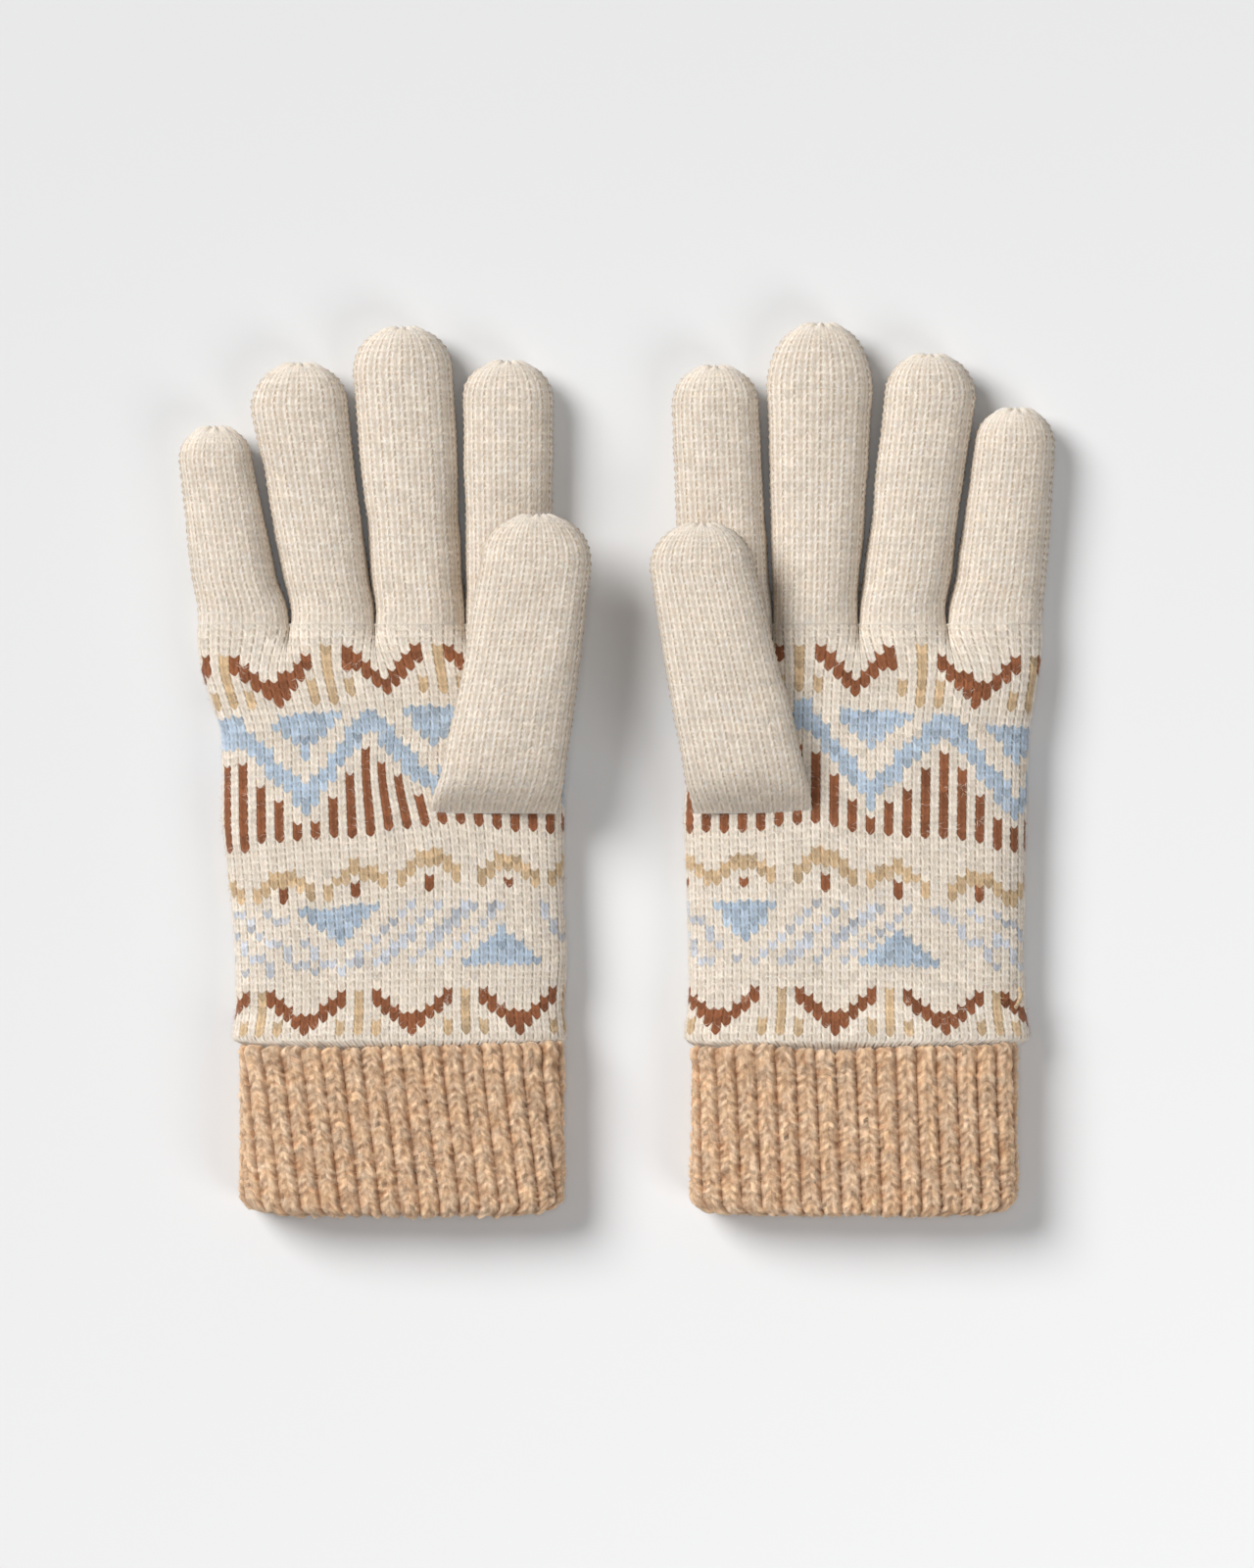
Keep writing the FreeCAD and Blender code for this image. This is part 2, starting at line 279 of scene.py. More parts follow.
def make_cloth(name, grid, colour, depth, uv_start, cols=COLS, rows=ROWS):
    """A tube of faces from a grid in mm, with its yarn colour, depth and stitch coordinates."""
    count_r, count_c = grid.shape[:2]
    r, c = np.meshgrid(np.arange(count_r - 1), np.arange(count_c), indexing="ij")
    here, after = r * count_c, (r + 1) * count_c
    d = (c + 1) % count_c
    quads = np.stack([here + c, here + d, after + d, after + c], -1)
    obj = add_mesh(name, grid.reshape(-1, 3), quads.reshape(-1, 4).tolist())
    mesh = obj.data
    mesh.shade_smooth()
    paint = mesh.color_attributes.new("yarn", "FLOAT_COLOR", "CORNER")
    rgba = np.concatenate([colour, np.ones(colour.shape[:2] + (1,))], -1)
    paint.data.foreach_set("color", np.repeat(rgba.reshape(-1, 4), 4, axis=0).ravel())
    # the depth of each point, from which the material paints shade into the pits
    deep = mesh.attributes.new("depth", "FLOAT", "POINT")
    deep.data.foreach_set("value", depth.ravel())
    layer = mesh.uv_layers.new(name="stitches")
    u = np.stack([c, c + 1, c + 1, c], -1) / cols
    v = np.stack([r, r, r + 1, r + 1], -1) / rows + uv_start
    layer.data.foreach_set("uv", np.stack([u, v], -1).ravel())
    return obj


print("one finger has", FINGER_WALES * COLS, "columns of faces round it")

# %% [markdown]
# ## The colours of the yarns
# The cream yarn isn't one colour: it is spun from paler and darker fibres, so each stitch comes
# out a little different. The tan rib varies more; the shade painted into its hollows is reddish.
# The blue, the brown and the ochre are carried behind the cream, which leaves them slightly uneven
# too. We write each yarn once as a screen colour and turn it into the linear light that Blender uses.

# %% Yarn colours
def linear(rgb):
    v = np.array(rgb, float) / 255
    return np.where(v <= 0.04045, v / 12.92, ((v + 0.055) / 1.055) ** 2.4)


CREAM, BROWN, BLUE, OCHRE, PALE = 0, 1, 2, 3, 4
WORDS = ("cream", "brown", "blue", "ochre")
YARNS = np.array([linear((237, 227, 214)), linear((146, 91, 60)), linear((184, 200, 217)),
                  linear((212, 185, 149)), linear((205, 210, 219))])
TAN = linear((222, 190, 157))


def vary(codes, seed, amount=0.07):
    """One colour per stitch, each a little lighter or darker, warmer or cooler than its yarn."""
    r = np.random.default_rng(seed)
    base = YARNS[codes]
    light = 1 + (r.normal(0, amount, codes.shape) * np.where(codes == 0, 1.0, 2.2))[..., None]
    warm = r.normal(0, 0.006, codes.shape)[..., None] * np.array([1.0, 0.1, -1.3])
    return np.clip(base * light * (1 + warm), 0, 1)


def per_face(stitch, rows, columns):
    """Gives every face of a stitch the colour of that stitch."""
    return stitch[(np.arange(rows - 1) // ROWS)[:, None], (np.arange(columns) // COLS)[None, :]]


print("cream in linear light:", np.round(YARNS[CREAM], 3))

# %% [markdown]
# ## The pattern chart
# A knitter works from a chart: one square per stitch. Ours is a function of the wale (counted
# from the left edge of the palm) and the course (counted down from the knuckles). The bands are
# small Vs in brown, a light blue zigzag with triangles in its dips, brown bars that hang from
# it, ochre arches, a band of blue triangles and pale diagonals, and the small Vs again. Every
# band repeats a whole number of times round the hand, so it also closes on the back.

# %% The chart
def spread(first, step):
    """Centres of a motif: first and every step over the palm, then even steps over the back."""
    palm = [c for c in first + step * np.arange(9) if c < WALES / 2]
    gap = WALES + palm[0] - palm[-1]
    turns = max(round(gap / step), 1)
    centres = np.array(palm + [palm[-1] + gap * t / turns for t in range(1, turns)])
    return np.floor(centres) + 0.5  # a motif is centred on a stitch, so that its point is sharp


def away(i, centres):
    """Distance in wales to the nearest centre of a motif."""
    apart = abs(np.asarray(i, float)[..., None] - centres)
    return np.minimum(apart, WALES - apart).min(-1)


def between(centres):
    """The stitch halfway between each motif and the next."""
    after = np.append(centres[1:], centres[0] + WALES)
    return (np.floor((centres + after) / 2) + 0.5) % WALES


MOTIFS = {
    "right": {"top_v": spread(8.5, 11.6), "dip": spread(10.4, 14.6), "arch": spread(7.0, 8.4),
              "down": spread(13.7, 34.6), "up": spread(31.3, 34.6), "low_v": spread(9.3, 12.2)},
    "left": {"top_v": spread(7.5, 12.3), "dip": spread(6.2, 15.4), "arch": spread(7.9, 8.4),
             "down": spread(7.6, 34.0), "up": spread(24.6, 34.0), "low_v": spread(4.9, 12.2)},
}


def chart(side, i, j):
    """The yarn of the stitch at wale i and course j."""
    at = MOTIFS[side]
    code = np.full(np.broadcast(i, j).shape, CREAM)
    # small Vs with ochre lines and dots between them, twice
    for word, foot in (("top_v", 8.0), ("low_v", 52.9)):
        d = away(i, at[word])
        code[(d <= 4.6) & (abs(j - (foot - 0.92 * d)) <= 1.1)] = BROWN
        gap = away(i, between(at[word]))
        code[(gap < 0.6) & (abs(j - foot + 1.8) <= 3.2)] = OCHRE
        code[(abs(gap - 2) < 0.5) & (abs(j - foot - 0.2) <= 1.1)] = OCHRE
    # the blue zigzag, the triangles in its dips, and the bars under it
    d = away(i, at["dip"])
    line = np.maximum(22.3 - 1.40 * d, 12.3)
    code[abs(j - line) <= 1.85] = BLUE
    code[(j >= 11.1) & (j < 16.7) & (d <= 4.3 * (1 - (j - 11.1) / 5.4))] = BLUE
    every_other = (np.floor(i) + np.floor(at["dip"][0] + 7.0)) % 2 == 0
    code[every_other & (j > line + 4.0) & (j <= 27.4)] = BROWN
    code[every_other & (j > 25.2) & (j <= 27.4)] = BROWN
    # ochre arches, each over a brown dot
    d = away(i, at["arch"])
    code[(d <= 3.7) & (abs(j - (31.7 + 2.6 * (d / 3.3) ** 1.5)) <= 1.0)] = OCHRE
    code[(d < 0.55) & (j > 33.5) & (j < 35.4)] = BROWN
    # blue triangles, one pointing down and one up, with pale dotted diagonals between
    d = away(i, at["down"])
    band = (j > 36.6) & (j < 45.6)
    slope = d + 0.84 * (j - 37)
    dotted = (np.floor(i) + np.floor(j)) % 3 > 0
    for m in (7.6, 11.0, 14.6, 18.2):
        code[band & (abs(slope - m) < 0.85) & dotted] = PALE
    code[(j >= 36.8) & (j < 42.4) & (d <= 4.4 * (1 - (j - 36.8) / 5.4))] = BLUE
    code[(j >= 40.0) & (j < 45.4) & (away(i, at["up"]) <= 4.5 * (j - 39.8) / 5.2)] = BLUE
    return code


for side in MOTIFS:
    codes = chart(side, np.arange(WALES)[None] + 0.5, np.arange(HAND_COURSES)[:, None] + 0.5)
    print(side, "stitches by yarn:", np.bincount(codes.ravel()))

# %% [markdown]
# ## The finish of the yarn
# Brushed wool has no shine, but its fine fibres catch light at the edges, which is what a sheen
# layer is for. A little light also goes into the yarn and comes out beside the place where it
# went in. The colour comes from the mesh, then four things change it: fine fibres that run along
# each leg, a slow cloudiness of the dye, single fibres of another shade, and painted shade in the
# pits. The same fibres also raise the surface a little. We could paint all this on a picture, but
# nodes stay sharp at any distance and need no file.

# %% Materials for knitted cloth
def new_material(name, values):
    """A material and its shader, with constants set on the shader's inputs."""
    mat = bpy.data.materials.new(name)
    mat.use_nodes = True
    shader = mat.node_tree.nodes["Principled BSDF"]
    for word, value in values.items():
        shader.inputs[word].default_value = value
    return mat, shader


def add_node(mat, kind, values=None, links=None, settings=None):
    """A new node: first its settings, then constants on its inputs, then links into them."""
    node = mat.node_tree.nodes.new("ShaderNode" + kind)
    for word, value in (settings or {}).items():
        setattr(node, word, value)
    for word, value in (values or {}).items():
        node.inputs[word].default_value = value
    for word, source in (links or {}).items():
        mat.node_tree.links.new(source, node.inputs[word])
    return node


def fibre_bump(mat, shader, height, strength, distance):
    bump = add_node(mat, "Bump", {"Strength": strength, "Distance": distance}, {"Height": height})
    mat.node_tree.links.new(bump.outputs["Normal"], shader.inputs["Normal"])


def knit_material(name, pit_shade, flecks, sheen_tint):
    mat, shader = new_material(name, {
        "Specular IOR Level": 0.18, "Subsurface Weight": 0.3, "Subsurface Radius": (1.0, 0.7, 0.45),
        "Subsurface Scale": 0.0014, "Sheen Weight": 0.22, "Sheen Roughness": 0.55,
        "Sheen Tint": (*sheen_tint, 1)})
    yarn = add_node(mat, "Attribute", settings={"attribute_name": "yarn"})
    deep = add_node(mat, "Attribute", settings={"attribute_name": "depth"})
    uv = add_node(mat, "UVMap", settings={"uv_map": "stitches"}).outputs["UV"]

    def noise(scale, detail, where, roughness=0.5):
        values = {"Scale": scale, "Detail": detail, "Roughness": roughness}
        return add_node(mat, "TexNoise", values, {"Vector": where}).outputs["Fac"]

    def ranged(source, low, high, smallest=0.25, largest=0.75):
        values = {"From Min": smallest, "From Max": largest, "To Min": low, "To Max": high}
        return add_node(mat, "MapRange", values, {"Value": source}).outputs["Result"]

    def scaled(colour, by):
        node = add_node(mat, "VectorMath", None, {0: colour, "Scale": by}, {"operation": "SCALE"})
        return node.outputs["Vector"]

    def tinted(colour, tint, where):
        node = add_node(mat, "Mix", {"B": (*tint, 1)}, {"Factor": where, "A": colour},
                        {"data_type": "RGBA", "blend_type": "MULTIPLY"})
        return node.outputs["Result"]

    # fibres are long along the legs and fine across them
    stretch = add_node(mat, "Mapping", {"Scale": (8.0, 2.4, 1.0), "Rotation": (0, 0, 0.35)}, {"Vector": uv})
    fibres = noise(1.0, 3.0, stretch.outputs["Vector"], 0.6)
    clouds = noise(70.0, 2.0, add_node(mat, "TexCoord").outputs["Object"])
    spots = noise(3.4, 4.0, uv, 0.75)
    colour = scaled(yarn.outputs["Color"], ranged(fibres, 0.76, 1.24))
    colour = scaled(colour, ranged(clouds, 0.955, 1.03))
    colour = tinted(colour, flecks, ranged(spots, 0.0, 0.6, 0.55, 0.75))
    # painted shade: where the knitting lies deep, the colour is multiplied towards the pit shade colour
    colour = tinted(colour, pit_shade, ranged(deep.outputs["Fac"], 1.0, 0.0, 0.0, 0.85))
    mat.node_tree.links.new(colour, shader.inputs["Base Color"])
    mat.node_tree.links.new(ranged(fibres, 0.96, 0.82), shader.inputs["Roughness"])
    fibre_bump(mat, shader, fibres, 0.55, 0.00035)
    return mat


# the first colour of each wool is the painted shade of its pits and grooves
CREAM_KNIT = knit_material("cream_wool", (0.50, 0.42, 0.33), (0.86, 0.80, 0.70), (1.0, 0.97, 0.92))
TAN_RIB = knit_material("tan_rib_wool", (0.42, 0.29, 0.21), (0.74, 0.60, 0.46), (1.0, 0.93, 0.85))
print("materials:", CREAM_KNIT.name, "and", TAN_RIB.name)

# %% [markdown]
# ## Loose fibres
# Brushed wool is covered with short stray hairs. They soften the outline more than anything
# else does. Real hair particles would be lost when the model is shared, so each hair is one
# thin triangle, kept in its own object with one plain colour.

# %% Stray hairs
HAIR_COLOURS = {"cream": (240, 230, 216), "brown": (164, 107, 75), "blue": (194, 208, 224),
                "ochre": (216, 190, 154), "tan": (226, 200, 168)}
HAIR = {}
for word, rgb in HAIR_COLOURS.items():
    look = {"Base Color": (*linear(rgb), 1), "Roughness": 0.9, "Specular IOR Level": 0.1}
    HAIR[word] = new_material(word + "_hair", look)[0]


def hairs(name, grid, normals, count, length, material, seed, stand=0.55, only=None, sides=0.0):
    """Short hairs that lean over the cloth, on the stitches marked in only (None is all of them).

    stand says how far they stand up, sides which share of them sits at the sides of the tube.
    """
    r = np.random.default_rng(seed)
    rows, columns = grid.shape[:2]
    i, j = r.integers(1, rows - 1, count), r.integers(0, columns, count)
    k = r.random(count) < sides
    turn = r.normal(0, 0.045, k.sum()) + r.integers(0, 2, k.sum()) / 2
    j[k] = (turn * columns).astype(int) % columns
    if only is not None:
        keep = only[i // ROWS, j // COLS]
        i, j = i[keep], j[keep]
        count = len(i)
    root, out = grid[i, j], normals[i, j]
    way = r.normal(0, 1, (count, 3))
    way -= out * (way * out).sum(1, keepdims=True)
    way /= np.linalg.norm(way, axis=1, keepdims=True)
    size = (length * r.uniform(0.4, 1.3, count))[:, None]
    side = np.cross(out, way) * r.uniform(0.022, 0.045, count)[:, None]
    lift = out * size * (stand * r.uniform(0.1, 1.0, count))[:, None]
    middle = root + way * size * 0.5 + lift * 0.8
    end = root + way * size + lift
    points = np.stack([root - side, root + side, middle + side * 0.7, middle - side * 0.7, end], 1)
    points[..., 2] = np.maximum(points[..., 2], 0.05)
    base = np.arange(count)[:, None] * 5
    faces = (base + np.array([[0, 1, 2, 3]])).tolist() + (base + np.array([[3, 2, 4]])).tolist()
    obj = add_mesh(name, points.reshape(-1, 3), faces)
    obj.data.materials.append(material)
    return obj


print("hair colours:", sorted(HAIR))

# %% [markdown]
# ## The outline of each finger
# A finger is a tube 20 wales round. Its sides follow the measured finger up to where its end
# starts to round over, and then a dome closes it. At its foot the outline moves over to the
# point where two fingers meet, so that hand and fingers follow each other there.

# %% Read the fingers' outlines
ORDER = {"right": ["little", "ring", "middle", "index"], "left": ["index", "middle", "ring", "little"]}
PARTS = {}
for side in ORDER:
    for finger in ORDER[side] + ["thumb"]:
        label = side + "_" + finger
        PARTS[label] = [n for n in (label + "_foot", label + "_lower", label + "_tip") if n in frame["nodes"]]


def read_outline(label):
    """Rows of (y, left, right) up to the shoulder, the shoulder's y, and the y of the very end."""
    rows = []
    for node in PARTS[label][:-1]:
        low, high = node_box(node)
        for y in np.linspace(low[1] + 0.15, high[1] - 0.15, 7):
            rows.append((y,) + cut_across(node, y)[:2])
    tip = PARTS[label][-1]
    low, high = node_box(tip)
    start = low[1] + 0.15
    first = cut_across(tip, start)
    rows.append((start,) + first[:2])
    y = start + 1
    near = cut_across(tip, y)
    width = first[1] - first[0]
    taper = near[1] - near[0] - width
    while y < high[1] - 1:
        here = cut_across(tip, y)
        if here[1] - here[0] < width + taper * (y - start) - 0.25:
            break
        rows.append((y,) + here[:2])
        y += 0.5
    end = node_box(label + "_tip_gather")[1][1]
    return np.array(rows), rows[-1][0], end


OUTLINES = {label: read_outline(label) for label in PARTS}
for label, (rows, shoulder, end) in OUTLINES.items():
    print(label, "foot", np.round(rows[0], 1), "shoulder", round(shoulder, 1), "end", round(end, 1))

# %% Where neighbouring fingers meet
CROTCH = {}
for side, names in ORDER.items():
    feet = [OUTLINES[side + "_" + n][0][0] for n in names]
    lines = [feet[0][1]] + [(a[2] + b[1]) / 2 for a, b in zip(feet, feet[1:])] + [feet[-1][2]]
    CROTCH[side] = lines
    print(side, "fingers are divided at x =", np.round(lines, 1))

# %% [markdown]
# ## Knitting a finger
# The rows run from the foot to the end. Up the straight part each row is one section. Over the
# dome the sections shrink, and the last loops are drawn in to a small puckered hole that sits a
# little towards the palm side, because that is where the maker pulled the yarn tight.

# %% Sections of a finger or thumb
FINGER_HIGH = 14.0
TOP_POWER, UNDER_POWER = 2.35, 2.9

# the wool of each finger is drawn in a little from the measured outline: (left, right) in mm
DRAWN_IN = {"right_little": (0.1, 1.1), "right_ring": (0.4, 0.5), "right_middle": (0.2, 0.4),
            "right_index": (0.6, 0.5), "left_index": (0.4, 0.7), "left_middle": (0.5, 0.4),
            "left_ring": (0.5, 0.5), "left_little": (0.8, 0.1), "right_thumb": (0.0, 0.2),
            "left_thumb": (0.2, 0.0)}


def straight_row(label, y, side_limits=None):
    rows = OUTLINES[label][0]
    left, right = np.interp(y, rows[:, 0], rows[:, 1]), np.interp(y, rows[:, 0], rows[:, 2])
    left, right = left + DRAWN_IN[label][0], right - DRAWN_IN[label][1]
    if label == "right_thumb":  # its foot flares out over the palm
        left -= 2.2 * (1 - smooth((y - THUMB_BASE) / 12.0))
    if side_limits:
        near = 1 - smooth((y - KNUCKLE) / 13.0)
        left += (side_limits[0] - left) * near
        right += (side_limits[1] - right) * near
    return left, right


def digit_grid(label, base_y, wales, low_of, high_of, side_limits=None, pull=2.2):
    """Plain rows of points up a digit and over its end, one row every quarter course."""
    shoulder, end = OUTLINES[label][1:]
    where = np.arange(wales * COLS) / (wales * COLS)
    grid = []
    for y in np.arange(base_y, shoulder, STEP):
        left, right = straight_row(label, y, side_limits)
        x, z = round_section(left, right, low_of(y), high_of(y), where, TOP_POWER, UNDER_POWER)
        if side_limits:  # fingers press against each other low down, near the hand
            squeeze = 0.75 * smooth((y - base_y) / 9.0) * (1 - smooth((y - base_y - 20) / 20.0))
            x += squeeze * (x - (left + right) / 2) / ((right - left) / 2) * smooth((7.5 - z) / 4.0)
        grid.append(np.stack([x, np.full(len(x), y), z], -1))
    left, right = straight_row(label, shoulder, side_limits)
    low, high = low_of(shoulder), high_of(shoulder)
    middle, half, reach = (left + right) / 2, (right - left) / 2, end - 0.6 - shoulder
    angles = np.linspace(0, math.pi / 2, 400)
    walk = np.hypot(np.diff(half * np.cos(angles) ** 0.86), np.diff(reach * np.sin(angles)))
    path = np.concatenate([[0], np.cumsum(walk)])
    for k in range(int(path[-1] / STEP)):
        a = np.interp(k * STEP, path, angles)
        c = max(math.cos(a), 0.02)
        size = half * c ** 0.86
        rise = (high - low) / 2 * c ** 0.72
        centre = (low + high) / 2 + pull * (1 - math.cos(a)) ** 2
        back = 1.6 * smooth((a / (math.pi / 2) - 0.86) / 0.14)
        x, z = round_section(middle - size, middle + size, centre - rise, centre + rise, where,
                             TOP_POWER - 0.35 * a / 1.57, UNDER_POWER - 0.9 * a / 1.57)
        y = shoulder + reach * math.sin(a) - back
        grid.append(np.stack([x, np.full(len(x), y), z], -1))
    return np.array(grid)


def flat_table(y):
    return 0.0


def finger_top(y):
    return FINGER_HIGH


rows = digit_grid("right_little", KNUCKLE, FINGER_WALES, flat_table, finger_top)
print("the little finger has", len(rows), "rows of faces")

# %% Push the stitches out
PUCKERS = 10            # small folds where an end is drawn in


def knit_digit(label, base_y, wales, low_of, high_of, seed, side_limits=None, pull=2.2, height=0.40):
    grid = digit_grid(label, base_y, wales, low_of, high_of, side_limits, pull)
    count_r, count_c = grid.shape[:2]
    r = np.arange(count_r)[:, None]
    v, u = np.indices((count_r, count_c))
    # slow hills and hollows, and wales that wander a little
    hill = soft_noise(u, v, count_c, 5, 26, seed) * 0.35
    hill += soft_noise(u, v, count_c, 12, 9, seed + 1) * 0.12
    start = 1 - np.exp(-r / 2.4)
    finish = smooth((count_r - 4 - r) / 26.0)
    normal = soften(outward(grid))
    grid = grid + normal * (hill * start * finish)[..., None]
    wander = soft_noise(u, v, count_c, wales, 5, seed + 6) * 0.8
    shift = zigzag(count_c)[None, :] * ROWS + wander
    grid = slide_rows(grid, shift * start * np.clip(finish * 1.4, 0, 1))
    normal = soften(outward(grid))
    relief = leg_relief(count_r, count_c, seed + 2, 0.5)
    fade = (0.5 + 0.5 * start) * (0.12 + 0.88 * finish)
    pucker = 0.5 * np.cos(2 * np.pi * PUCKERS * u / count_c)
    pucker = pucker * smooth((r - count_r + 16) / 10.0) * smooth((count_r - r) / 4.0)
    grid = grid + normal * (relief * height * fade + pucker)[..., None]
    grid[..., 2] = np.maximum(grid[..., 2], 0.02)
    # depth is low in the pits, where the material paints shade
    depth = np.clip(relief, 0, 1) * fade + (1 - fade) * 0.8
    stitch = vary(np.zeros((count_r // ROWS + 1, wales), int), seed + 3, 0.03)
    return grid, normal, per_face(stitch, count_r, count_c), depth


print("each end is drawn into", PUCKERS, "small folds")

# %% [markdown]
# ## Fingers in two pieces
# The four fingers fold towards the palm at two places. Wool doesn't hinge, it bends over a
# length of cloth, so each finger is made as two pieces, cut apart on a row of stitches.
# The cut between the pieces falls where the cloth never bends. On the index finger, which
# the thumb lies on, the cut is just above its lower fold.

# %% The fingers
BEND = 16.0


def split_digit(label, cut_y, base_y, made, first_pair, first_start, second_pair, second_start, hair):
    """Two pieces from one knitted digit, cut at cut_y on a row between stitches."""
    grid, normal, colour, depth = made
    row = int(round((cut_y - base_y) / STEP / ROWS)) * ROWS
    spans = ((label + "_lower_knit", 0, row + 1, first_pair, first_start),
             (label + "_tip_knit", row, len(grid), second_pair, second_start))
    cloth = []
    for name, a, b, pair, start in spans:
        obj = make_cloth(name, grid[a:b], colour[a:b - 1], depth[a:b], a / ROWS)
        obj.data.materials.append(CREAM_KNIT)
        count = int(hair * (b - a) / len(grid))
        fuzz = hairs(name + "_hairs", grid[a:b], normal[a:b], count, 2.1, HAIR["cream"],
                     len(name) + a, stand=0.85, sides=0.4)
        for o in (obj, fuzz):
            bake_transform(o)
        cloth.append(obj)
    return cloth


def digit_seed(side, n):
    return 40 + 10 * n + (200 if side == "left" else 0)


def tip_pull(seed):
    """How far the end of a finger is drawn up towards the palm side, in mm."""
    return 1.4 + 0.5 * (seed % 3)


for side, names in ORDER.items():
    for n, finger in enumerate(names):
        label = side + "_" + finger
        seed = digit_seed(side, n)
        limits = (CROTCH[side][n], CROTCH[side][n + 1])
        made = knit_digit(label, KNUCKLE, FINGER_WALES, flat_table, finger_top, seed, limits, tip_pull(seed))
        glove, lower, tip = side + "_glove", label + "_lower", label + "_tip"
        if finger == "index":
            folds = joint_y(label + "_lower_fold"), joint_y(label + "_upper_fold")
            first_start, cut = folds[0] - BEND / 2, folds[0] + BEND / 2 + 1.5
        else:
            folds = KNUCKLE, joint_y(label + "_middle_fold")
            first_start, cut = KNUCKLE, (KNUCKLE + BEND + folds[1] - BEND / 2) / 2
        cloth = split_digit(label, cut, KNUCKLE, made, (glove, lower), first_start,
                            (lower, tip), folds[1] - BEND / 2, 9500)
        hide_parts(*PARTS[label][:-1])
        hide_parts(label + "_tip")
        print(label, "folds at", np.round(folds, 1), "cut at", round(cut, 1))

# %% [markdown]
# ## The thumb
# The thumb is picked up round a slit in the palm, so it grows out of the palm: at its base it
# is no thicker than the cloth, and one finger's width further on it is a full tube that lies on
# top of the palm. We keep its underside just above the palm and let only its height grow.

# %% The thumbs
def thumb_low(y):
    return 15.3 + 1.0 * smooth((y - THUMB_BASE) / 7.0)


THUMB_HIGH = CAD_BOX[1][2] * 1000
THUMB_PULL = 1.2


def thumb_high(y):
    return THUMB_HIGH - (THUMB_HIGH - 16.0) * math.exp(-((y - THUMB_BASE) / 6.6) ** 1.15)


for side in ORDER:
    label = side + "_thumb"
    made = knit_digit(label, THUMB_BASE, THUMB_WALES, thumb_low, thumb_high, digit_seed(side, 5),
                      pull=THUMB_PULL, height=0.42)
    fold = joint_y(label + "_fold")
    cut = (THUMB_BASE + BEND + fold - BEND / 2) / 2
    cloth = split_digit(label, cut, THUMB_BASE, made, (side + "_glove", label + "_lower"), THUMB_BASE,
                        (label + "_lower", label + "_tip"), fold - BEND / 2, 10500)
    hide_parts(label + "_lower")
    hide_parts(label + "_tip")
    print(label, "rises to", round(thumb_high(5), 1), "mm over the palm")

# %% [markdown]
# ## The hand
# The hand is 80 wales round, 40 on the palm. Its sides follow the measured hand. Near the
# knuckles each row changes from one wide section into four small ones side by side, and the last
# row follows the first rows of the four fingers. They are separate pieces, and a hairline of about
# a fifth of a millimetre stays open between them. Just above the cuff the cloth bulges, because
# the rib draws it in, and inside the cuff it is a narrow neck. The rows also sag towards the
# little finger, as they do in a glove that was laid out by hand.

# %% Plain rows of the hand
def hand_rows(side):
    node = side + "_hand"
    low, high = node_box(node)
    near_cuff, above = np.arange(low[1] + 0.1, -70, 0.5), np.arange(-70, high[1] - 0.2, 3.0)
    ys = np.concatenate([near_cuff, above, [high[1] - 0.1]])
    return np.array([(y,) + cut_across(node, y) for y in ys])


def hand_grid(side):
    rows = hand_rows(side)
    lines = CROTCH[side]
    columns = WALES * COLS
    where = np.arange(columns) / columns
    count = HAND_COURSES * ROWS + 1
    bottom = node_box(side + "_hand")[0][1]
    ys = np.linspace(KNUCKLE, bottom, count)
    # the last row: four small sections, palm side left to right and back side right to left
    lobes = np.empty((columns, 2))
    each = columns // 8
    share = np.arange(each) / (2 * each)
    for n in range(4):
        for m, part in ((n, share), (7 - n, share + 0.5)):
            x, z = round_section(lines[n], lines[n + 1], 0, FINGER_HIGH, part, TOP_POWER, UNDER_POWER)
            lobes[m * each:(m + 1) * each] = np.stack([x, z], -1)
    grid = np.empty((count, columns, 3))
    for k, y in enumerate(ys):
        left, right, low, high = [np.interp(y, rows[:, 0], rows[:, m]) for m in range(1, 5)]
        bulge = smooth((y + 76.5) / 2.5) * (1 - smooth((y + 73.0) / 9.0))
        x, z = round_section(left - 1.1 * bulge, right + 1.1 * bulge, low, high + 2.3 * bulge, where,
                             3.0 - 0.3 * bulge, 4.0)
        split = smooth((y - 27.0) / (KNUCKLE - 27.0)) ** 1.6
        x += (lobes[:, 0] - x) * smooth((y - 22.0) / (KNUCKLE - 22.0))
        z += (lobes[:, 1] - z) * split
        grid[k] = np.stack([x, np.full(columns, y), z], -1)
    return grid


print("hand outline at its widest:", np.round(hand_rows("right")[-3], 1))

# %% Let the rows sag, push out the stitches and colour them
SHOWN_ROWS = 218        # below these rows the hand is inside the cuff


def toward_little(side, column, columns):
    """0 up to the middle finger, then rising to 1 at the little finger's edge, on palm and back."""
    across = np.where(column < columns / 2, column / (columns / 2), 2 - column / (columns / 2))
    near = 1 - across if side == "right" else across
    return np.clip((near - 0.38) / 0.62, 0, 1)


